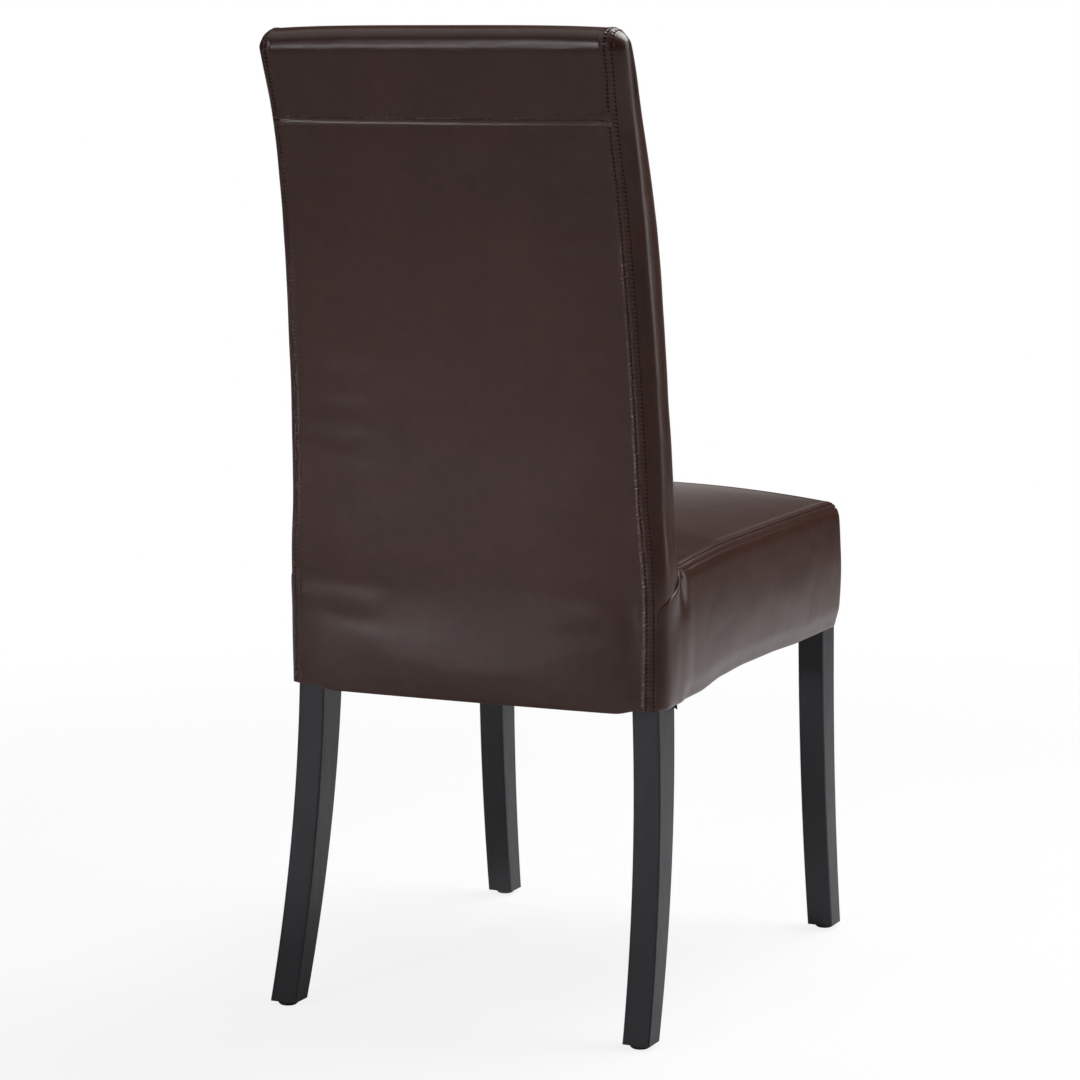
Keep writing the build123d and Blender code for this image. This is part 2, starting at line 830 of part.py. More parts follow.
# Dust cover: thin sheet under the rails, notched round the legs
with BuildPart() as dust_cover:
    with BuildSketch(Plane.XY.offset(rail_bottom - cover_thickness)):
        cover_front = front_rail_face + cover_margin
        cover_rear = rear_rail_inner - soft_gap
        leg_notch = front_leg_inner(rail_bottom) - cover_margin
        post_notch = post_inner(rail_bottom) - cover_margin
        with BuildLine():
            edge = Polyline(
                (0, cover_front),
                (leg_notch, cover_front),
                (leg_notch, front_leg_back + cover_margin),
                (side_rail_outer(front_leg_back) - cover_margin, front_leg_back + cover_margin),
                (side_rail_outer(post_front) - cover_margin, post_front - cover_margin),
                (post_notch, post_front - cover_margin),
                (post_notch, cover_rear),
                (0, cover_rear),
            )
            mirror(edge, about=Plane.YZ)
        make_face()
    extrude(amount=cover_thickness)
pieces["dust_cover"] = dust_cover

os.makedirs("parts", exist_ok=True)
for name, piece in pieces.items():
    piece.part.label = name
    export_step(piece.part, f"parts/{name}.step")
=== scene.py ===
import bisect
import math

import bmesh
import bpy
from mathutils import Matrix, Vector, noise


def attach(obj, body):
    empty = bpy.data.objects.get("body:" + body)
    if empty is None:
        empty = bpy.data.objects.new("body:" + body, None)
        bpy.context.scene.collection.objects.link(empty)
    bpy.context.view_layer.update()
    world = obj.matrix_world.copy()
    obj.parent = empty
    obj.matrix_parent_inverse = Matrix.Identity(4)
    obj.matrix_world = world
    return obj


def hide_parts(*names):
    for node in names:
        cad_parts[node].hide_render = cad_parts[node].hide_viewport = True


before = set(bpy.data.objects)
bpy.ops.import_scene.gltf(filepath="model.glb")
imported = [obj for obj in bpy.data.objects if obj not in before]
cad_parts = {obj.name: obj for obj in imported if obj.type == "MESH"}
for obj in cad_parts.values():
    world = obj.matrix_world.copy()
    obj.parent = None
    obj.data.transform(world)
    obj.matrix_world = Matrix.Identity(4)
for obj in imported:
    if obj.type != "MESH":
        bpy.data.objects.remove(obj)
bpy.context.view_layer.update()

scene = bpy.context.scene
mm = 0.001
leatherWall = 1.3 * mm
print("frame loaded:", len(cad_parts), "nodes")


# small helpers for the shapes

def ease(low, high, value):
    share = min(max((value - low) / (high - low), 0.0), 1.0)
    return share * share * (3 - 2 * share)


def bell(value, width):
    return math.exp(-(value / width) ** 2)


def mix(first, last, share):
    return first + (last - first) * share


class RoundedLine:
    # a line of straight runs whose corners are rounded, read by the distance along it
    def __init__(self, corners, radii, step=1.5 * mm):
        corners = [Vector(corner) * mm for corner in corners]
        self.points = [corners[0]]
        arcs = []
        for before, corner, after, radius in zip(corners, corners[1:], corners[2:], radii):
            radius *= mm
            come = (corner - before).normalized()
            leave = (after - corner).normalized()
            turn = math.atan2(come.x * leave.y - come.y * leave.x, come.dot(leave))
            start = corner - come * radius * math.tan(abs(turn) / 2)
            centre = start + Vector((-come.y, come.x)) * math.copysign(radius, turn)
            spoke = start - centre
            steps = max(6, int(radius * abs(turn) / step))
            arcs.append((len(self.points), len(self.points) + steps))
            for part in range(steps + 1):
                swing = turn * part / steps
                self.points.append(centre + Vector((
                    spoke.x * math.cos(swing) - spoke.y * math.sin(swing),
                    spoke.x * math.sin(swing) + spoke.y * math.cos(swing))))
        self.points.append(corners[-1])
        self.marks = [0.0]
        for first, last in zip(self.points, self.points[1:]):
            self.marks.append(self.marks[-1] + (last - first).length)
        self.length = self.marks[-1]
        self.arcs = [(self.marks[first], self.marks[last]) for first, last in arcs]

    def point(self, along):
        spot = min(max(bisect.bisect_right(self.marks, along), 1), len(self.marks) - 1)
        start, end = self.marks[spot - 1], self.marks[spot]
        return self.points[spot - 1].lerp(self.points[spot], (along - start) / max(end - start, 1e-9))

    def heading(self, along):
        return (self.point(along + 2 * mm) - self.point(along - 2 * mm)).normalized()


def gridMesh(columns, rows, place, inside, relief=None):
    # a grid laid on a surface, its faces turned away from a point inside, then raised by a relief
    bm = bmesh.new()
    bmesh.ops.create_grid(bm, x_segments=columns, y_segments=rows, size=0.5)
    spots = [(vert, vert.co.x + 0.5, vert.co.y + 0.5) for vert in bm.verts]
    for vert, across, along in spots:
        vert.co = place(across, along)
    bm.normal_update()
    outward = sum((face.calc_center_median() - inside).dot(face.normal) for face in bm.faces)
    if outward < 0:
        bmesh.ops.reverse_faces(bm, faces=bm.faces)
        bm.normal_update()
    if relief:
        moves = [vert.normal * relief(across, along) for vert, across, along in spots]
        for spot, move in zip(spots, moves):
            spot[0].co += move
    return bm


def addPiece(name, bm, material):
    mesh = bpy.data.meshes.new(name)
    for face in bm.faces:
        face.smooth = True
    bm.to_mesh(mesh)
    bm.free()
    piece = bpy.data.objects.new(name, mesh)
    scene.collection.objects.link(piece)
    mesh.materials.append(material)
    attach(piece, "root")
    return piece


def cutAcross(bm, point, direction, clear=False):
    everything = bm.verts[:] + bm.edges[:] + bm.faces[:]
    bmesh.ops.bisect_plane(bm, geom=everything, plane_co=point, plane_no=direction, clear_inner=clear)


def thicken(piece, thickness, levels=1):
    if levels:
        smoother = piece.modifiers.new("smoother", "SUBSURF")
        smoother.levels = levels
        smoother.render_levels = levels
    wall = piece.modifiers.new("leather wall", "SOLIDIFY")
    wall.thickness = thickness
    wall.offset = -1


clothSettings = {
    "quality": 5, "mass": 0.15, "tension_stiffness": 25, "compression_stiffness": 25, "shear_stiffness": 10,
    "bending_stiffness": 2, "air_damping": 4, "vertex_group_mass": "sewn", "use_pressure": True,
}


def swell(piece, held, pressure, cap, frames=20):
    # air pressure from inside on leather that is held along its seams
    sewn = piece.vertex_groups.new(name="sewn")
    home = [vert.co.copy() for vert in piece.data.vertices]
    for index, spot in enumerate(home):
        sewn.add([index], held(spot), "REPLACE")
    cloth = piece.modifiers.new("settle", "CLOTH")
    for key, value in clothSettings.items():
        setattr(cloth.settings, key, value)
    cloth.settings.uniform_pressure_force = pressure
    cloth.settings.effector_weights.gravity = 0
    cloth.point_cache.frame_start = 1
    cloth.point_cache.frame_end = frames
    for step in range(1, frames + 1):
        scene.frame_set(step)
    settled = piece.evaluated_get(bpy.context.evaluated_depsgraph_get())
    moved = [vert.co.copy() for vert in settled.data.vertices]
    piece.modifiers.remove(cloth)
    piece.vertex_groups.remove(sewn)
    for vert, start, end in zip(piece.data.vertices, home, moved):
        move = end - start
        if move.length > cap:
            move *= cap / move.length
        vert.co = start + move
    scene.frame_set(1)
    furthest = max((end - start).length for start, end in zip(home, moved))
    print("settled", piece.name, "by", round(furthest / mm, 1), "mm")


# materials

def newFinish(name):
    material = bpy.data.materials.new(name)
    material.use_nodes = True
    return material, material.node_tree, material.node_tree.nodes["Principled BSDF"]


def node(tree, kind, inputs, **settings):
    made = tree.nodes.new("ShaderNode" + kind)
    for key, value in settings.items():
        setattr(made, key, value)
    for key, value in inputs.items():
        if isinstance(value, bpy.types.NodeSocket):
            tree.links.new(value, made.inputs[key])
        else:
            made.inputs[key].default_value = value
    return made


def speckle(tree, place, scale, detail, **more):
    inputs = {"Vector": place, "Scale": scale, "Detail": detail, **more}
    return node(tree, "TexNoise", inputs).outputs["Fac"]


def ramp(tree, value, stops):
    made = node(tree, "ValToRGB", {"Fac": value})
    while len(made.color_ramp.elements) < len(stops):
        made.color_ramp.elements.new(0.5)
    for element, (place, colour) in zip(made.color_ramp.elements, stops):
        element.position = place
        element.color = (*colour, 1)
    return made.outputs["Color"]


def sums(tree, *shares):
    total = None
    for socket, share in shares:
        part = node(tree, "Math", {0: socket, 1: share}, operation="MULTIPLY").outputs[0]
        total = part if total is None else node(tree, "Math", {0: total, 1: part}).outputs[0]
    return total


leatherLook = {
    "dark": (0.0330, 0.0114, 0.0068),
    "middle": (0.0415, 0.0148, 0.0094),
    "light": (0.0500, 0.0190, 0.0128),
    "cloudScale": 9,
    "mottleScale": 75,
    "fleckScale": 1500,
    "grainScale": 1150,
    "pebbleDepth": 0.00007,
    "dentScale": 42,
    "dentDepth": 0.0005,
    "wrinkleScale": 150,
    "wrinkleDepth": 0.00009,
    "roughLow": 0.27,
    "roughHigh": 0.34,
    "specular": 0.34,
    "coat": 0.1,
    "coatRoughness": 0.2,
}


def leatherFinish(name, look):
    material, tree, shader = newFinish(name)
    place = node(tree, "TexCoord", {}).outputs["Object"]
    cloud = speckle(tree, place, look["cloudScale"], 4, Roughness=0.6)
    mottle = speckle(tree, place, look["mottleScale"], 5, Roughness=0.65)
    fleck = speckle(tree, place, look["fleckScale"], 2)
    cells = node(tree, "TexVoronoi", {"Vector": place, "Scale": look["grainScale"], "Randomness": 1.0},
                 feature="SMOOTH_F1").outputs["Distance"]
    tone = sums(tree, (cloud, 0.45), (mottle, 0.4), (fleck, 0.15))
    colour = ramp(tree, tone, [(0.36, look["dark"]), (0.5, look["middle"]), (0.66, look["light"])])
    tree.links.new(colour, shader.inputs["Base Color"])
    gloss = node(tree, "MapRange", {"Value": sums(tree, (cloud, 0.2), (fleck, 0.5), (cells, 0.5)),
                                    "From Min": 0.3, "From Max": 0.8,
                                    "To Min": look["roughLow"], "To Max": look["roughHigh"]})
    tree.links.new(gloss.outputs["Result"], shader.inputs["Roughness"])
    dents = speckle(tree, place, look["dentScale"], 2)
    slack = node(tree, "Bump", {"Height": dents, "Distance": look["dentDepth"], "Strength": 0.6})
    wrinkles = speckle(tree, place, look["wrinkleScale"], 3, Distortion=1.2)
    crinkle = node(tree, "Bump", {"Height": wrinkles, "Distance": look["wrinkleDepth"], "Strength": 0.6,
                                  "Normal": slack.outputs["Normal"]})
    pebble = sums(tree, (cells, 0.7), (fleck, 0.5))
    grain = node(tree, "Bump", {"Height": pebble, "Distance": look["pebbleDepth"], "Strength": 0.7,
                                "Normal": crinkle.outputs["Normal"]})
    tree.links.new(grain.outputs["Normal"], shader.inputs["Normal"])
    shader.inputs["Specular IOR Level"].default_value = look["specular"]
    shader.inputs["Coat Weight"].default_value = look["coat"]
    shader.inputs["Coat Roughness"].default_value = look["coatRoughness"]
    return material


def grainedFinish(name, stops, along, scale, roughness, depth, coat=0.0):
    # wood or lacquer over wood: bands stretched along one axis
    material, tree, shader = newFinish(name)
    place = node(tree, "TexCoord", {}).outputs["Object"]
    squeeze = [1.0 if axis == along else 14.0 for axis in "xyz"]
    drawn = node(tree, "Mapping", {"Vector": place, "Scale": squeeze}).outputs["Vector"]
    bands = speckle(tree, drawn, scale, 5, Distortion=0.4)
    pores = speckle(tree, drawn, scale * 9, 2)
    tone = sums(tree, (bands, 0.75), (pores, 0.25))
    tree.links.new(ramp(tree, tone, stops), shader.inputs["Base Color"])
    gloss = node(tree, "MapRange", {"Value": bands, "From Min": 0.3, "From Max": 0.7,
                                    "To Min": roughness - 0.05, "To Max": roughness + 0.06})
    tree.links.new(gloss.outputs["Result"], shader.inputs["Roughness"])
    relief = sums(tree, (bands, 0.5), (pores, 0.5))
    bump = node(tree, "Bump", {"Height": relief, "Distance": depth, "Strength": 0.6})
    tree.links.new(bump.outputs["Normal"], shader.inputs["Normal"])
    shader.inputs["Coat Weight"].default_value = coat
    shader.inputs["Coat Roughness"].default_value = 0.25
    return material


def speckledFinish(name, stops, scale, roughness, depth, metallic=0.0, specular=0.5):
    # plastic, foam, fibre and metal: fine specks with a matching bump
    material, tree, shader = newFinish(name)
    place = node(tree, "TexCoord", {}).outputs["Object"]
    specks = speckle(tree, place, scale, 4)
    tree.links.new(ramp(tree, specks, stops), shader.inputs["Base Color"])
    gloss = node(tree, "MapRange", {"Value": specks, "From Min": 0.3, "From Max": 0.7,
                                    "To Min": roughness - 0.08, "To Max": roughness + 0.08})
    tree.links.new(gloss.outputs["Result"], shader.inputs["Roughness"])
    bump = node(tree, "Bump", {"Height": specks, "Distance": depth, "Strength": 0.6})
    tree.links.new(bump.outputs["Normal"], shader.inputs["Normal"])
    shader.inputs["Metallic"].default_value = metallic
    shader.inputs["Specular IOR Level"].default_value = specular
    return material


def wovenFinish(name, stops, pitch, roughness, depth):
    # plain weave: two sets of crossing threads
    material, tree, shader = newFinish(name)
    place = node(tree, "TexCoord", {}).outputs["Object"]
    size = 1 / (pitch * math.pi)
    warp = node(tree, "TexWave", {"Vector": place, "Scale": size, "Distortion": 0.6, "Detail": 1},
                bands_direction="X").outputs["Fac"]
    weft = node(tree, "TexWave", {"Vector": place, "Scale": size, "Distortion": 0.6, "Detail": 1},
                bands_direction="Y").outputs["Fac"]
    fuzz = speckle(tree, place, 700, 3)
    threads = sums(tree, (warp, 0.4), (weft, 0.4), (fuzz, 0.2))
    tree.links.new(ramp(tree, threads, stops), shader.inputs["Base Color"])
    gloss = node(tree, "MapRange", {"Value": threads,
                                    "To Min": roughness - 0.1, "To Max": roughness + 0.05})
    tree.links.new(gloss.outputs["Result"], shader.inputs["Roughness"])
    bump = node(tree, "Bump", {"Height": threads, "Distance": depth, "Strength": 0.7})
    tree.links.new(bump.outputs["Normal"], shader.inputs["Normal"])
    return material


leather = leatherFinish("espressoLeather", leatherLook)
threadDark = speckledFinish("darkThread", [(0.35, (0.004, 0.0024, 0.002)), (0.65, (0.011, 0.0065, 0.0052))],
                            2400, 0.75, 0.0001, specular=0.12)
# the lacquer is black; the extra blue in these stops is a painted reflection of cool light from behind, not
# the lacquer's own colour
lacquer = grainedFinish("blackLacquerPaintedBlueReflection", [(0.3, (0.0040, 0.0038, 0.0062)), (0.7, (0.0078, 0.0074, 0.0125))],
                        "z", 22, 0.46, 0.00008, coat=0.04)
hardwood = grainedFinish("rawHardwood", [(0.3, (0.36, 0.22, 0.12)), (0.7, (0.56, 0.39, 0.24))],
                         "x", 18, 0.6, 0.0002)
beech = grainedFinish("beechDowel", [(0.3, (0.45, 0.29, 0.17)), (0.7, (0.62, 0.44, 0.28))],
                      "x", 40, 0.55, 0.0001)
glidePlastic = speckledFinish("blackGlide", [(0.3, (0.006, 0.006, 0.006)), (0.7, (0.016, 0.016, 0.016))],
                              500, 0.42, 0.0001)
steel = speckledFinish("zincSteel", [(0.3, (0.45, 0.44, 0.42)), (0.7, (0.62, 0.61, 0.58))],
                       900, 0.32, 0.00005, metallic=1.0)
jute = wovenFinish("juteWebbing", [(0.3, (0.20, 0.13, 0.07)), (0.7, (0.47, 0.35, 0.21))],
                   2.2 * mm, 0.85, 0.0006)
cambric = wovenFinish("blackCambric", [(0.3, (0.006, 0.006, 0.006)), (0.75, (0.022, 0.022, 0.023))],
                      0.9 * mm, 0.9, 0.0002)
foam = speckledFinish("seatFoam", [(0.3, (0.62, 0.52, 0.34)), (0.7, (0.80, 0.71, 0.52))], 420, 0.9, 0.0008)
fibre = speckledFinish("fibrePadding", [(0.3, (0.70, 0.69, 0.66)), (0.7, (0.86, 0.85, 0.82))],
                       160, 0.95, 0.0015)
print("materials ready")

nodeFinish = {
    "rear_post": lacquer, "front_leg": lacquer, "glide_nails": steel, "glide": glidePlastic,
    "corner_block_screws": steel, "corner_block": hardwood, "rail_dowels": beech, "rail_padding": fibre,
    "rail": hardwood, "webbing": jute, "foam": foam, "pad": fibre, "dust_cover": cambric,
    "back_yoke": leather, "_panel": leather, "side_strip": leather, "seat_boxing": leather,
}
for name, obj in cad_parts.items():
    for key, finish in nodeFinish.items():
        if key in name:
            obj.data.materials.clear()
            obj.data.materials.append(finish)
            break


# the back: its outline seen from the side, drawn from the rear hem over the top to the front

backForm = {
    "outline": [(221.2, 334), (221.2, 430), (234.778, 652), (264.778, 871), (309.614, 1005),
                (276.9, 1018.2), (203.83, 865), (175.0, 560), (175.0, 334)],
    "radii": [900, 2100, 1000, 17.5, 17.5, 640, 500],
    "halfAtFloor": 221.7 * mm,
    "taper": math.tan(math.radians(1.62)),
    "halfAtSeat": 212.4 * mm,
    "topFlare": 3.6 * mm,
    "edgeRound": 15 * mm,
    "edgeCut": {1: 0.0, -1: 1.0},       # how far the seam draws the rear edge in, left and right
    "edgeCutTurn": math.tan(math.radians(28)),
    "lowEdgeRound": 16 * mm,
    "frontEdgeRound": 15 * mm,
    "seamInset": {1: 6.5 * mm, -1: 15.2 * mm},      # from the side to the sewn seam, left and right
    "topSeamInset": {1: 6.0 * mm, -1: 12.5 * mm},
    "frontSeamInset": 7 * mm,
    "crown": 8 * mm,
    "topCrown": 3.6 * mm,
    "cheek": 3.8 * mm,
    "lowCheek": 1.4 * mm,
    "rearPuff": 3.0 * mm,
    "yokeSeam": 593 * mm,
    "insideSeamHeight": 974 * mm,
    "hemRoll": 2.6 * mm,
    "hemFlare": 4.5 * mm,
    "hemRise": 4.5 * mm,         # the hem is drawn up over the legs
}
outline = RoundedLine(backForm["outline"], backForm["radii"])
rollStart = outline.arcs[3][0]
rollEnd = outline.arcs[4][1]


def backHalf(height):
    upper = backForm["halfAtFloor"] - height * backForm["taper"]
    return mix(backForm["halfAtSeat"], upper, ease(0.44, 0.55, height)) \
        + backForm["topFlare"] * ease(0.92, 1.0, height)


def edgeBend(along):
    rear = mix(backForm["lowEdgeRound"], backForm["edgeRound"], ease(0.43, 0.50, outline.point(along).y))
    return mix(rear, backForm["frontEdgeRound"], ease(rollEnd, rollEnd + 80 * mm, along))


def cheekAt(height):
    # how far the side of the back swells out midway
    return mix(backForm["lowCheek"], backForm["cheek"], ease(0.47, 0.60, height))


def seamAcross(along, side):
    # the seam's place across the edge, from the middle of its rounding
    height = outline.point(along).y
    bend = edgeBend(along)
    inset = mix(backForm["seamInset"][side], backForm["topSeamInset"][side], ease(0.90, 0.98, height))
    inset = mix(inset, backForm["frontSeamInset"], ease(rollStart, rollEnd + 40 * mm, along))
    return inset - bend + bend * math.pi / 4


def spine(along):
    # the line midway between the rear and the front of the back
    if along <= rollStart:
        share = along / rollStart
    elif along >= rollEnd:
        share = (outline.length - along) / (outline.length - rollEnd)
    else:
        share = 1.0
    rear = outline.point(rollStart * share)
    front = outline.point(outline.length - (outline.length - rollEnd) * share)
    return (rear + front) / 2


def backPoint(along, across, side):
    # across is 0 in the middle of the rounded edge, positive over the face, negative over the side
    rim = outline.point(along)
    head = outline.heading(along)
    inward = Vector((-head.y, head.x))
    half = backHalf(rim.y)
    bend = edgeBend(along)
    edgeArc = bend * math.pi / 4
    if across >= edgeArc:
        x, depth = half - bend - (across - edgeArc), 0.0
    elif across > -edgeArc:
        turn = (edgeArc - across) / bend
        x, depth = half - bend + bend * math.sin(turn), bend - bend * math.cos(turn)
        cut = backForm["edgeCut"][side] * (1 - ease(rollStart - 90 * mm, rollStart - 20 * mm, along))
        cut *= ease(0.45, 0.51, rim.y)
        share = turn / (math.pi / 2)
        drawn = share * (2 - share)
        x = mix(x, half - bend + bend * drawn, cut)
        depth = mix(depth, bend * (2 * share * (1 - share) * backForm["edgeCutTurn"] + share ** 2), cut)
    else:
        x, depth = half, bend - across - edgeArc
    if depth > 0:
        core = spine(along) - rim
        share = min(depth / core.length, 1.0)
        rim = rim + inward.lerp(core.normalized(), share) * depth
        x += cheekAt(rim.y) * math.sin(share * math.pi / 2) ** 2
    frontShare = ease(rollEnd - 10 * mm, rollEnd + 60 * mm, along)
    rearShare = 1 - ease(rollStart - 60 * mm, rollStart, along)
    lift = (backForm["crown"] * frontShare + backForm["rearPuff"] * rearShare) * max(0, 1 - (x / half) ** 2)
    rim = rim - inward * lift
    skirt = max(0, (0.58 - rim.y) / 0.245) ** 2 * max(0, 1 - (x / half) ** 6)
    rim.x += backForm["hemFlare"] * rearShare * skirt
    lid = backForm["topCrown"] * ease(0.985, 1.01, rim.y) * max(0, 1 - (x / half) ** 4)
    return Vector((side * x, rim.x, rim.y + lid))


def facePoint(along, share):
    # share runs from the left seam to the right seam
    full = backHalf(outline.point(along).y) - edgeBend(along) * (1 - math.pi / 4)
    reach = mix(full - seamAcross(along, 1), seamAcross(along, -1) - full, share)
    return backPoint(along, full - abs(reach), 1 if reach >= 0 else -1)


def hemmed(along, share):
    # below the hem the leather rolls inwards
    rise = backForm["hemRise"] * ease(0.160, 0.185, abs(facePoint(0, share).x))
    if along >= 0:
        return facePoint(along + rise * max(0, 1 - along / 0.06), share)
    spot = facePoint(rise, share)
    turn = -along / backForm["hemRoll"]
    spot.y -= backForm["hemRoll"] * (1 - math.cos(turn))
    spot.z -= backForm["hemRoll"] * math.sin(turn)
    return spot


insideFrontSeam = rollEnd
while outline.point(insideFrontSeam).y > backForm["insideSeamHeight"]:
    insideFrontSeam += mm
frontOfBack = Vector((0, -1.0, 0.62))
rearOfBack = Vector((0, 1.5, 0.62))
topCore = Vector((0, 0.29, 0.985))

# creases drawn into the rear leather: place across and up, reach along and across the crease, turn, depth
rearCreases = [
    (-168, 446, 26, 12, 6, -1.5),
    (-178, 400, 9, 60, 0, -0.8),
    (-150, 470, 40, 16, 14, 0.5),
    (178, 452, 24, 12, -16, -0.6),
    (-60, 352, 80, 8, 3, -0.4),
    (110, 356, 60, 8, -4, -0.4),
]


def creased(spot, creases):
    depth = 0.0
    for x, z, reach, width, turn, deep in creases:
        swing = math.radians(turn)
        dx, dz = spot.x / mm - x, spot.z / mm - z
        along = dx * math.cos(swing) + dz * math.sin(swing)
        off = -dx * math.sin(swing) + dz * math.cos(swing)
        depth += deep * mm * bell(along, reach) * bell(off, width)
    return depth


def sewnRound(low, high, beside):
    # held fast below, above and at both sides, free in the middle
    def held(spot):
        free = low <= spot.z <= high and abs(spot.x) <= backHalf(spot.z) - beside
        return 0.0 if free else 1.0
    return held


outsideForm = {"columns": 76, "rows": 116, "hemTurn": 7.5 * mm, "sewnLow": 337 * mm, "sewnHigh": 915 * mm,
               "sewnBeside": 22 * mm, "pressure": 2.2, "mostMove": 2.5 * mm,
               "uneven": 0.5 * mm, "unevenScale": 16}


def outsidePanel():
    form = outsideForm
    low, high = -form["hemTurn"], backForm["yokeSeam"]
    bm = gridMesh(form["columns"], form["rows"],
                  lambda across, along: hemmed(mix(low, high, along), across), frontOfBack)
    panel = addPiece("outsideBackPanel", bm, leather)
    swell(panel, sewnRound(form["sewnLow"], form["sewnHigh"], form["sewnBeside"]),
          form["pressure"], form["mostMove"])
    for vert in panel.data.vertices:
        if vert.co.z > 0.336 and vert.co.y > 0.2:
            vert.co.y += creased(vert.co, rearCreases)
            calm = ease(0.335, 0.36, vert.co.z) * (1 - ease(0.88, 0.905, vert.co.z))
            calm *= 1 - ease(0.165, 0.185, abs(vert.co.x))
            vert.co.y += form["uneven"] * noise.noise(vert.co * form["unevenScale"]) * calm
    thicken(panel, leatherWall)
    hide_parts("outside_back_panel", "back_rear_pad")


def lapRise(up):
    # the yoke lies on the panel below it, and comes down to the padding higher up
    return 0.9 * mm * (1 - ease(0, 70 * mm, up))


yokeForm = {"columns": 76, "rows": 44, "uneven": 0.35 * mm, "unevenScale": 22}


def yokePanel():
    form = yokeForm
    low = backForm["yokeSeam"]
    tall = insideFrontSeam - low

    def relief(across, along):
        beside = min(across, 1 - across) * 2 * backForm["halfAtSeat"]
        return lapRise(along * tall) * ease(10 * mm, 26 * mm, beside)

    bm = gridMesh(form["columns"], form["rows"],
                  lambda across, along: facePoint(low + along * tall, across), topCore, relief)
    yoke = addPiece("outsideBackYoke", bm, leather)
    for vert in yoke.data.vertices:
        calm = ease(0.945, 0.965, vert.co.z) * (1 - ease(0.165, 0.185, abs(vert.co.x)))
        vert.co.y += form["uneven"] * noise.noise(vert.co * form["unevenScale"]) * calm
    thicken(yoke, leatherWall)
    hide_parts("outside_back_yoke")


insideForm = {"columns": 76, "rows": 108, "sewnLow": 460 * mm, "sewnHigh": 968 * mm, "sewnBeside": 14 * mm,
              "pressure": 3.0, "mostMove": 4 * mm}


def insidePanel():
    form = insideForm
    bm = gridMesh(form["columns"], form["rows"],
                  lambda across, along: facePoint(mix(insideFrontSeam, outline.length, along), across),
                  rearOfBack)
    panel = addPiece("insideBackPanel", bm, leather)
    swell(panel, sewnRound(form["sewnLow"], form["sewnHigh"], form["sewnBeside"]),
          form["pressure"], form["mostMove"])
    thicken(panel, leatherWall)
    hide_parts("inside_back_panel", "back_foam")


stripForm = {"columns": 10, "rearRows": 108, "rollRows": 16, "bottom": 430 * mm, "sink": 2.6 * mm,
             "uneven": 0.5 * mm, "unevenScale": 24}


def sideStrip(name, side, cadNode):
    form = stripForm
    rearRows, rollRows = form["rearRows"], form["rollRows"]
    turns = rearRows * 2 + rollRows

    def place(across, along):
        row = along * turns
        if row <= rearRows:
            reach = rollStart * row / rearRows
        elif row >= rearRows + rollRows:
            reach = mix(rollEnd, outline.length, (row - rearRows - rollRows) / rearRows)
        else:
            reach = mix(rollStart, rollEnd, (row - rearRows) / rollRows)
        rim = outline.point(reach)
        bend = edgeBend(reach)
        last = bend - (spine(reach) - rim).length - bend * math.pi / 4
        return backPoint(reach, mix(seamAcross(reach, side), last, across), side)

    bm = gridMesh(form["columns"], turns, place, Vector((side * 0.1, 0.225, 0.62)))
    bmesh.ops.remove_doubles(bm, verts=bm.verts, dist=0.3 * mm)
    # the boxing covers it lower down
    cutAcross(bm, (0, 0, form["bottom"]), (0, 0, 1), clear=True)
    strip = addPiece(name, bm, leather)
    for vert in strip.data.vertices:
        fold = foldTop(vert.co.y)
        sink = form["sink"] * (1 - ease(fold - 9 * mm, fold - 1 * mm, vert.co.z))
        vert.co -= vert.normal * sink
        vert.co.x += side * form["uneven"] * noise.noise(vert.co * form["unevenScale"])
    thicken(strip, leatherWall)
    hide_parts(cadNode)


# the seat: outline from above, crowned top, rounded edge

seatForm = {
    "front": -288.8 * mm,
    "rear": 214.2 * mm,
    "halfFront": 218 * mm,
    "halfRear": 209.6 * mm,
    "edge": 489.2 * mm,
    "sideFall": 3.8 * mm,        # the side edge falls evenly from the front as far as sideRun
    "sideRun": 0.321,
    "edgeFall": 6 * mm,          # then it comes down towards the back
    "cornerFall": 3.5 * mm,      # and a little more where it meets the back
    "crownTop": 508.5 * mm,
    "crownAt": -70 * mm,
    "frontDrop": 5.5 * mm,       # how far the crown drops over frontRun and rearRun
    "frontRun": 218.8,
    "rearDrop": 8 * mm,
    "rearRun": 284,
    "edgeRound": 17 * mm,
    "seamTurn": 0.65,            # the seam's place on the rounded edge
    "corner": 16,
    "bulge": 3.5 * mm,
    "hemTuck": 3.0 * mm,
}


def seatHalf(y):
    share = (y - seatForm["front"]) / (seatForm["rear"] - seatForm["front"])
    return mix(seatForm["halfFront"], seatForm["halfRear"], share)


def seatTop(x, y):
    away = y - seatForm["crownAt"]
    if away < 0:
        crown = seatForm["crownTop"] - seatForm["frontDrop"] * (away / seatForm["frontRun"] / mm) ** 2
    else:
        crown = seatForm["crownTop"] - seatForm["rearDrop"] * (away / seatForm["rearRun"] / mm) ** 2
    edge = seatForm["edge"] - seatForm["sideFall"] * min((y - seatForm["front"]) / seatForm["sideRun"], 1) \
        - seatForm["edgeFall"] * ease(0.03, 0.16, y) - seatForm["cornerFall"] * ease(0.125, 0.18, y)
    share = min(abs(x) / seatHalf(y), 1.0)
    return mix(crown, edge, share ** 2)


seatPlan = RoundedLine([(212.1, 186), (218, -288.8), (-218, -288.8), (-212.1, 186)],
                       [seatForm["corner"]] * 2)
boxPlan = RoundedLine([(192, 221.6), (212.6, 221.6), (213.0, 168), (218, -288.8),
                       (-218, -288.8), (-213.0, 168), (-212.6, 221.6), (-192, 221.6)],
                      [16, 60, seatForm["corner"], seatForm["corner"], 60, 16])
seatCore = Vector((0, -0.04, 0.42))


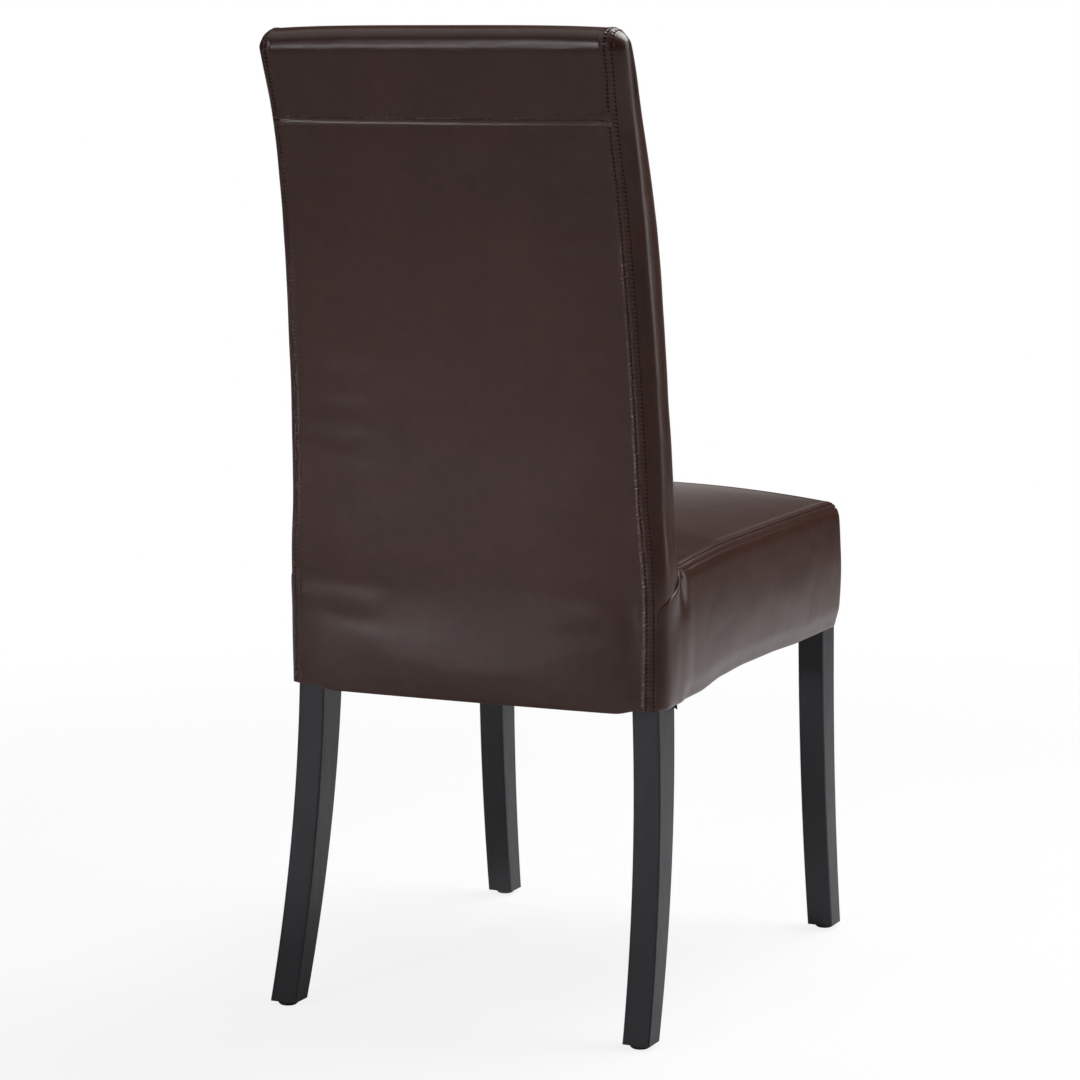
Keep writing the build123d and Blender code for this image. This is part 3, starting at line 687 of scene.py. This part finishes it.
def edgePoint(plan, along, reach):
    # reach is measured from the seam, up and inwards over the rounded edge
    spot = plan.point(along)
    head = plan.heading(along)
    inward = Vector((head.y, -head.x))
    bend = seatForm["edgeRound"]
    rim = spot + inward * bend
    top = seatTop(rim.x, rim.y)
    turn = seatForm["seamTurn"] + reach / bend
    if turn < 0:
        inset, height = 0.0, top - bend + bend * turn
    elif turn < math.pi / 2:
        inset, height = bend * (1 - math.cos(turn)), top - bend + bend * math.sin(turn)
    else:
        inset = bend * (1 + turn - math.pi / 2)
        spotIn = spot + inward * inset
        height = seatTop(spotIn.x, spotIn.y)
    place = spot + inward * inset
    return Vector((place.x, place.y, height))


# heights of the boxing's hem and of its fold over the back, by the place from front to rear
hemLine = [(-289, 352), (-163, 351), (-80, 353), (0, 353), (60, 350.5), (119, 343.5), (191, 341.5),
           (223, 340)]
foldLine = [(154, 474.9), (166, 474.6), (178, 473.8), (185, 470.2), (191.5, 460.5), (199, 455.5),
            (208, 451.6), (217, 444.4), (220.3, 440), (221.6, 436.5)]


def readLine(line, value):
    value /= mm
    for (a, low), (b, high) in zip(line, line[1:]):
        if value <= b:
            straight = min(max((value - a) / (b - a), 0), 1)
            return mix(low, high, ease(a, b, value) * 0.5 + 0.5 * straight) * mm
    return line[-1][1] * mm


def seamDrop():
    return seatForm["edgeRound"] * (1 - math.sin(seatForm["seamTurn"]))


def foldTop(y):
    # height of the fold over the side of the back
    return readLine(foldLine, y)


def sideOfBack(y):
    # how far out the side of the back stands just above the fold, round its front edge too
    bend = backForm["frontEdgeRound"]
    off = min(max(175 * mm + bend - y, 0.0), bend)
    middle = min(max(1 - abs(y - 0.198) / 0.023, 0.0), 1.0)
    reach = backForm["halfAtSeat"] - bend + math.sqrt(bend ** 2 - off ** 2)
    return max(reach + backForm["lowCheek"] * math.sin(middle * math.pi / 2) ** 2, 207.5 * mm)


def boxTop(along):
    # the seat seam, and then the fold
    spot = boxPlan.point(along)
    if spot.y > 0.154:
        return foldTop(spot.y)
    inner = seatHalf(spot.y) - seatForm["edgeRound"]
    if abs(spot.x) < inner:
        return seatTop(spot.x, spot.y + seatForm["edgeRound"]) - seamDrop()
    return seatTop(inner, spot.y) - seamDrop()


sideCreases = [
    (170, 405, 15, 60, 0, 1.1),
    (194, 400, 15, 50, 0, -0.7),
    (138, 430, 20, 50, -14, -0.5),
    (-250, 430, 9, 40, 6, -0.5),
    (-120, 400, 60, 20, 12, 0.5),
    (20, 392, 70, 18, -14, -0.5),
]


boxingForm = {"columns": 280, "hemRows": 3, "midRows": 30, "lipRows": 3, "lip": 1.5 * mm, "lipTurn": 2.8,
              "hemRoll": 2.6 * mm, "hemTurn": 3.0, "underSeam": 3 * mm, "proud": 1.1 * mm}


def boxingPiece():
    form = boxingForm
    lip, roll = form["lip"], form["hemRoll"]
    lowRows, midRows, lipRows = form["hemRows"], form["midRows"], form["lipRows"]
    rows = lowRows + midRows + lipRows

    def place(across, along):
        reach = across * boxPlan.length
        spot = boxPlan.point(reach)
        head = boxPlan.heading(reach)
        outward = Vector((-head.y, head.x))
        behind = ease(0.157, 0.176, spot.y)
        frontly = 1 - behind
        bend = seatForm["edgeRound"]
        middle = boxTop(reach) - bend * math.sin(seatForm["seamTurn"])
        low = readLine(hemLine, spot.y)
        high = boxTop(reach) - form["underSeam"] * frontly
        row = along * rows
        share = min(max((row - lowRows) / midRows, 0), 1)
        height = mix(low, high, share)
        inset = 0.0
        if height > middle:
            inset = bend - math.sqrt(max(bend ** 2 - (height - middle) ** 2, 0))
        push = seatForm["bulge"] * math.sin(math.pi * share ** 0.9) * mix(1, 0.1, ease(0.18, 0.221, spot.y))
        push -= inset * frontly
        push -= seatForm["hemTuck"] * (1 - ease(0, 0.16, share)) * mix(1, 0.1, behind)
        lying = ease(0.166, 0.176, spot.y) * ease(0.62, 0.97, share)
        cover = (sideOfBack(spot.y) - backForm["halfAtSeat"]) * abs(outward.x) + form["proud"]
        push = mix(push, cover * ease(9 * mm, 15 * mm, min(reach, boxPlan.length - reach)), lying)
        if row < lowRows:
            turn = form["hemTurn"] * (1 - row / lowRows)
            push -= roll * (1 - math.cos(turn))
            height -= roll * math.sin(turn)
        elif row > lowRows + midRows:
            turn = form["lipTurn"] * (row - lowRows - midRows) / lipRows
            push -= lip * (1 - math.cos(turn))
            height += lip * math.sin(turn)
        place = spot + outward * push
        return Vector((place.x, place.y, height))

    bm = gridMesh(form["columns"], rows, place, seatCore)
    band = addPiece("seatBoxing", bm, leather)
    for vert in band.data.vertices:
        if abs(vert.co.x) > 0.2 and vert.co.y < 0.215:
            push = creased(Vector((vert.co.y, 0, vert.co.z)), sideCreases)
            vert.co.x += math.copysign(push + 0.5 * mm * noise.noise(vert.co * 18), vert.co.x)
        elif vert.co.y < -0.27:
            vert.co.y += 0.6 * mm * noise.noise(vert.co * 14)
    thicken(band, leatherWall)
    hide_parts("seat_boxing", "rail_padding")


topForm = {"columns": 84, "rows": 92, "edge": 14 * mm, "rear": 190 * mm, "sewn": 11 * mm,
           "sewnRear": 165 * mm, "pressure": 2.5, "mostMove": 4 * mm}


def topPiece():
    form = topForm
    edge = form["edge"]
    front, rear = seatForm["front"] + edge, form["rear"]

    def place(across, along):
        y = mix(front, rear, along)
        x = (1 - 2 * across) * (seatHalf(y) - edge)
        return Vector((x, y, seatTop(x, y)))

    def held(spot):
        free = front + form["sewn"] <= spot.y <= form["sewnRear"] \
            and abs(spot.x) <= seatHalf(spot.y) - edge - form["sewn"]
        return 0.0 if free else 1.0

    bm = gridMesh(form["columns"], form["rows"], place, seatCore)
    top = addPiece("seatTopPanel", bm, leather)
    swell(top, held, form["pressure"], form["mostMove"])
    thicken(top, leatherWall)
    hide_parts("seat_top_panel", "seat_foam")


outsidePanel()
yokePanel()
insidePanel()
sideStrip("backSideStripLeft", 1, "back_side_strip_left")
sideStrip("backSideStripRight", -1, "back_side_strip_right")
print("back panels sewn")
boxingPiece()
topPiece()
print("seat sewn")


# seams: fine bands of leather over the joins, with the thread in them

def seamBand(name, surface, length, form, height, inside):
    # surface(along, across) in metres; the band goes from -reach[0] to reach[1] across the seam
    reach, cell = form
    width = reach[0] + reach[1]
    columns = max(8, round(width / cell))
    rows = round(length / (1.25 * cell))

    def place(across, along):
        return surface(along * length, across * width - reach[0])

    def relief(across, along):
        return height(along * length, across * width - reach[0])

    bm = gridMesh(columns, rows, place, inside, relief)
    band = addPiece(name, bm, leather)
    return band


def sewRow(bm, surface, end, across, thread, height, inside):
    # one row of stitches, each a small drawn-out bead lying in the leather
    start = thread["start"]
    count = int((end - start) / thread["pitch"])
    step = 0.4 * mm
    turned = 0
    run = bmesh.new()
    for number in range(count):
        along = start + (number + 0.5) * thread["pitch"]
        spot = surface(along, across)
        ahead = (surface(along + step, across) - spot).normalized()
        beside = (surface(along, across + step) - spot).normalized()
        out = ahead.cross(beside).normalized()
        turned = turned or math.copysign(1, out.dot(spot - inside))
        out = out * turned
        beside = out.cross(ahead)
        spot = spot + out * (height(along, across) + thread["proud"])
        stretch = thread["length"] / 2 / thread["radius"]
        lay = Matrix.Identity(4)
        for index, axis in enumerate((ahead * stretch, beside, out)):
            lay.col[index] = (*axis, 0)
        lay.col[3] = (*spot, 1)
        bmesh.ops.create_uvsphere(run, u_segments=6, v_segments=4, radius=thread["radius"],
                                  matrix=lay @ Matrix.Rotation(math.pi / 2, 4, "Y"))
        if number % 30 == 29 or number == count - 1:
            # short runs are joined to the row, which keeps the operator quick
            part = bpy.data.meshes.new("run")
            run.to_mesh(part)
            bm.from_mesh(part)
            bpy.data.meshes.remove(part)
            run.clear()
    run.free()


# stitches: where they begin, their pitch and size, and how far the row is from the seam
sideThread = {"start": 2 * mm, "pitch": 4.3 * mm, "length": 3.3 * mm, "radius": 0.55 * mm,
              "proud": 0.25 * mm, "row": 3.5 * mm}
yokeThread = {"start": 4 * mm, "pitch": 5.6 * mm, "length": 4.3 * mm, "radius": 0.45 * mm,
              "proud": 0.05 * mm, "row": 4.4 * mm, "lowRow": -5.4 * mm}
seatThread = {"start": 10 * mm, "pitch": 4.0 * mm, "length": 3.1 * mm, "radius": 0.50 * mm,
              "proud": 0.25 * mm, "row": 6.5 * mm}

# how far each band of leather reaches to both sides of its seam, and the size of its faces
bandForm = {
    "side": ((7 * mm, 10.5 * mm), 0.65 * mm),
    "yoke": ((9 * mm, 12 * mm), 0.55 * mm),
    "inside": ((5 * mm, 5 * mm), 0.9 * mm),
    "seat": ((7 * mm, 25 * mm), 0.75 * mm),
}


def pinch(thread, along):
    # 0 at the middle of each stitch, 1 at the needle holes between two
    return (0.5 + 0.5 * math.cos(2 * math.pi * (along - thread["start"]) / thread["pitch"])) ** 2


def feltSeam(thread, strip, panel):
    # the strip turned under and sewn down beside the panel: two rows, and the fold's edge beyond one
    def height(along, across):
        off = abs(across)
        wide = panel if across > 0 else strip
        pucker = 3.6 * mm if across > thread["row"] else 2.2 * mm
        rise = 0.8 * mm * (1 - ease(4.4 * mm, wide, off)) - 0.3 * mm * ease(wide - 1.2 * mm, wide, off)
        rise -= 1.9 * mm * bell(across + 4.8 * mm, 0.75 * mm)
        rise -= 0.25 * mm * bell(across, 1.2 * mm)
        rise -= 0.9 * mm * bell(off - thread["row"], 0.75 * mm)
        rise -= 0.65 * mm * pinch(thread, along) * bell(off - thread["row"], pucker)
        return rise
    return height


def lappedSeam(thread):
    # the yoke folded over the panel below it: a ridge at the fold, a row of stitches each side
    def height(along, across):
        drawn = pinch(thread, along)
        rise = mix(0.2 * mm, lapRise(across) + 0.15 * mm, ease(-3.2 * mm, -1.8 * mm, across))
        rise *= ease(-9 * mm, -5.2 * mm, across)
        rise -= 0.3 * mm * (ease(7.5 * mm, 12 * mm, across) + 1 - ease(-9 * mm, -7 * mm, across))
        rise += 0.5 * mm * bell(across + 1.3 * mm, 0.9 * mm) - 0.6 * mm * bell(across - 2.2 * mm, 1.0 * mm)
        rise += 0.6 * mm * (1 - drawn) * bell(across - thread["row"] + 0.4 * mm, 1.1 * mm)
        rise -= 0.4 * mm * drawn * bell(across - thread["row"], 1.5 * mm)
        rise -= (0.5 + 0.3 * drawn) * mm * bell(across - thread["lowRow"], 0.8 * mm)
        return rise
    return height


def topSeam(thread):
    # the seat seam with one row of stitches on the top panel
    def height(along, across):
        drawn = pinch(thread, along)
        rise = 0.45 * mm * ease(0.0, 1.2 * mm, across) * (1 - ease(9.5 * mm, 20 * mm, across))
        rise += 0.12 * mm * bell(across + 2.6 * mm, 1.8 * mm)
        rise -= 1.8 * mm * bell(across, 0.75 * mm)
        rise -= 0.25 * mm * (ease(22 * mm, 25 * mm, across) + 1 - ease(-7 * mm, -5 * mm, across))
        rise -= 0.5 * mm * bell(across - thread["row"], 0.8 * mm)
        rise -= 0.3 * mm * drawn * bell(across - thread["row"], 1.8 * mm)
        return rise
    return height


def plainSeam():
    def height(along, across):
        off = abs(across)
        return 0.6 * mm * (1 - ease(2.5 * mm, 5 * mm, off)) - 0.25 * mm * ease(4.2 * mm, 5 * mm, off) \
            - 1.1 * mm * bell(across, 0.8 * mm)
    return height


def sewSeams():
    sewn = bmesh.new()
    low = backForm["hemRise"] - 0.5 * mm
    for word, side in (("Left", 1), ("Right", -1)):
        def edge(along, across):
            return backPoint(along + low, seamAcross(along + low, side) + across, side)
        profile = feltSeam(sideThread, *bandForm["side"][0])
        core = Vector((side * 0.1, 0.19, 0.6))
        length = outline.length - low
        seamBand("backSeam" + word, edge, length, bandForm["side"], profile, core)
        for row in (-1, 1):
            sewRow(sewn, edge, length - 60 * mm, row * sideThread["row"], sideThread, profile, core)
    addPiece("backStitching", sewn, threadDark)

    wide = sum(backHalf(0.92) - backForm["seamInset"][side] for side in (1, -1))

    def yokeEdge(along, across):
        return facePoint(backForm["yokeSeam"] + across, along / wide)
    sewn = bmesh.new()
    profile = lappedSeam(yokeThread)
    front = Vector((0, -1, 0.9))
    seamBand("yokeSeam", yokeEdge, wide, bandForm["yoke"], profile, front)
    for row in ("row", "lowRow"):
        sewRow(sewn, yokeEdge, wide - 4 * mm, yokeThread[row], yokeThread, profile, front)
    addPiece("yokeStitching", sewn, threadDark)

    def insideEdge(along, across):
        return facePoint(insideFrontSeam - across, along / wide)
    seamBand("insideBackSeam", insideEdge, wide, bandForm["inside"], plainSeam(), Vector((0, 1, 0.9)))

    def seatEdge(along, across):
        return edgePoint(seatPlan, along, across)
    sewn = bmesh.new()
    profile = topSeam(seatThread)
    seamBand("seatSeam", seatEdge, seatPlan.length, bandForm["seat"], profile, seatCore)
    sewRow(sewn, seatEdge, seatPlan.length - 10 * mm, seatThread["row"], seatThread, profile, seatCore)
    addPiece("seatStitching", sewn, threadDark)


sewSeams()
print("seams and stitches in")


# dust cover under the seat

dustCover = {"front": -281, "rear": 189, "halfFront": 208.3, "halfRear": 203, "height": 353.7, "sag": 4.5,
             "legInside": 185, "frontNotch": -241, "rearNotch": 171}


def dustSheet():
    def place(across, along):
        y = mix(dustCover["front"], dustCover["rear"], along)
        half = mix(dustCover["halfFront"], dustCover["halfRear"], along)
        x = (1 - 2 * across) * half
        drop = dustCover["sag"] * math.cos(math.pi * (across - 0.5)) * math.sin(math.pi * along)
        return Vector((x, y, dustCover["height"] - drop)) * mm

    bm = gridMesh(40, 44, place, Vector((0, -0.05, 0.6)))
    for side in (1, -1):
        cutAcross(bm, (side * dustCover["legInside"] * mm, 0, 0), (1, 0, 0))
    for key in ("frontNotch", "rearNotch"):
        cutAcross(bm, (0, dustCover[key] * mm, 0), (0, 1, 0))
    inLegs = []
    for face in bm.faces:
        middle = face.calc_center_median() / mm
        between = dustCover["frontNotch"] < middle.y < dustCover["rearNotch"]
        if abs(middle.x) > dustCover["legInside"] and not between:
            inLegs.append(face)
    bmesh.ops.delete(bm, geom=inLegs, context="FACES")
    sheet = addPiece("dustCoverSheet", bm, cambric)
    thicken(sheet, 0.5 * mm, levels=0)
    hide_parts("dust_cover")


dustSheet()
print("dust cover on")


# floor, light and camera

studio = {
    "floorTone": 0.88,
    "nearWhite": 0.85,           # share of plain white in the floor beside the chair
    "mirrored": 0.88,            # how white the backdrop is in reflections
    "overhead": 55,
    "behind": 20,
    "right": 30,
    "low": 0.42,
    "top": 12,
    "front": 0.8,
    "world": 0.05,
    "camera": (-1.5475, 3.4797, 1.0097),
    "pitch": 8.052,
    "yaw": 24.302,
    "lens": 119.63,
}
viewLine = (math.sin(math.radians(studio["yaw"])), -math.cos(math.radians(studio["yaw"])), 0)


def backdropShare(tree, direction):
    # camera rays see the white backdrop all round, reflections see it as far as it stands behind the chair
    path = node(tree, "LightPath", {}).outputs
    facing = node(tree, "VectorMath", {0: direction, 1: viewLine}, operation="DOT_PRODUCT").outputs["Value"]
    sector = node(tree, "MapRange", {"Value": facing, "From Min": 0.90, "From Max": 0.97}).outputs["Result"]
    rise = node(tree, "SeparateXYZ", {0: direction}).outputs["Z"]
    low = node(tree, "MapRange", {"Value": rise, "From Min": 0.08, "From Max": 0.2,
                                  "To Min": 1.0, "To Max": 0.0}).outputs["Result"]
    sector = node(tree, "Math", {0: sector, 1: low}, operation="MULTIPLY").outputs[0]
    mirrored = node(tree, "Math", {0: path["Is Glossy Ray"], 1: path["Is Transmission Ray"]}).outputs[0]
    mirrored = node(tree, "Math", {0: mirrored, 1: sector}, operation="MULTIPLY").outputs[0]
    mirrored = node(tree, "Math", {0: mirrored, 1: studio["mirrored"]}, operation="MULTIPLY").outputs[0]
    return node(tree, "Math", {0: mirrored, 1: path["Is Camera Ray"]}, use_clamp=True).outputs[0]


def layFloor():
    bm = bmesh.new()
    bmesh.ops.create_grid(bm, x_segments=2, y_segments=2, size=9)
    mesh = bpy.data.meshes.new("studioFloor")
    bm.to_mesh(mesh)
    bm.free()
    floor = bpy.data.objects.new("studioFloor", mesh)
    scene.collection.objects.link(floor)
    material, tree, shader = newFinish("paleFloor")
    place = node(tree, "TexCoord", {}).outputs["Object"]
    dust = speckle(tree, place, 3, 3)
    tone = studio["floorTone"]
    shade = ramp(tree, dust, [(0.3, (tone, tone, tone)), (0.7, (tone + 0.02,) * 3)])
    tree.links.new(shade, shader.inputs["Base Color"])
    shader.inputs["Roughness"].default_value = 0.9
    shader.inputs["Specular IOR Level"].default_value = 0.1
    outward = node(tree, "VectorMath", {0: place}, operation="NORMALIZE").outputs["Vector"]
    away = node(tree, "VectorMath", {0: place}, operation="LENGTH").outputs["Value"]
    far = node(tree, "MapRange", {"Value": away, "From Min": 0.7, "From Max": 2.2,
                                  "To Min": studio["nearWhite"], "To Max": 1.0},
               interpolation_type="SMOOTHSTEP").outputs["Result"]
    share = node(tree, "Math", {0: far, 1: backdropShare(tree, outward)}, operation="MULTIPLY").outputs[0]
    white = node(tree, "Emission", {"Color": (1, 1, 1, 1), "Strength": 1.0})
    shown = node(tree, "MixShader", {0: share, 1: shader.outputs[0], 2: white.outputs[0]})
    tree.links.new(shown.outputs[0], tree.nodes["Material Output"].inputs["Surface"])
    mesh.materials.append(material)


def addSoftbox(name, place, aim, size, power, colour=(1, 1, 1), grid=180):
    # grid is the angle that a honeycomb in front of the light lets through
    light = bpy.data.lights.new(name, "AREA")
    light.shape = "RECTANGLE"
    light.size, light.size_y = size
    light.energy = power
    light.color = colour
    light.spread = math.radians(grid)
    lamp = bpy.data.objects.new(name, light)
    lamp.location = place
    lamp.visible_camera = False
    lamp.rotation_euler = (Vector(aim) - Vector(place)).to_track_quat("-Z", "Y").to_euler()
    scene.collection.objects.link(lamp)


def lightWorld():
    world = bpy.data.worlds.new("studio")
    scene.world = world
    world.use_nodes = True
    tree = world.node_tree
    tree.nodes.clear()
    direction = node(tree, "TexCoord", {}).outputs["Generated"]
    soft = node(tree, "Background", {"Color": (0.94, 0.97, 1, 1), "Strength": studio["world"]})
    white = node(tree, "Background", {"Color": (1, 1, 1, 1), "Strength": 1.0})
    share = backdropShare(tree, direction)
    shown = node(tree, "MixShader", {0: share, 1: soft.outputs[0], 2: white.outputs[0]})
    node(tree, "OutputWorld", {"Surface": shown.outputs[0]})


layFloor()
lightWorld()
addSoftbox("overheadSoftbox", (-0.6, -0.8, 2.4), (0, 0, 0.4), (1.5, 1.5), studio["overhead"])
addSoftbox("behindSoftbox", (0.85, 3.25, 1.9), (0, 0.2, 0.8), (0.4, 0.45), studio["behind"], (1, 0.97, 1))
addSoftbox("rightSoftbox", (-2.5, -0.9, 1.4), (0, 0, 0.6), (1.4, 2.2), studio["right"])
addSoftbox("topSoftbox", (0.85, 0.55, 2.7), (0, 0.3, 1.0), (2.0, 2.0), studio["top"])
addSoftbox("lowSoftbox", (2.6, 5.0, 0.9), (0, 0.2, 0.6), (0.8, 0.6), studio["low"], (1, 0.97, 1), 9)
addSoftbox("frontSoftbox", (-1.4, -2.4, 1.0), (-1.4, -2.3, 0), (0.7, 0.7), studio["front"], (1, 1, 1), 90)

lens = bpy.data.cameras.new("photoCamera")
lens.lens = studio["lens"]
lens.sensor_width = 36
camera = bpy.data.objects.new("photoCamera", lens)
camera.location = studio["camera"]
camera.rotation_euler = (math.radians(90 - studio["pitch"]), 0, math.radians(180 + studio["yaw"]))
scene.collection.objects.link(camera)
scene.camera = camera
scene.view_settings.view_transform = "Standard"
print("floor, light and camera set")
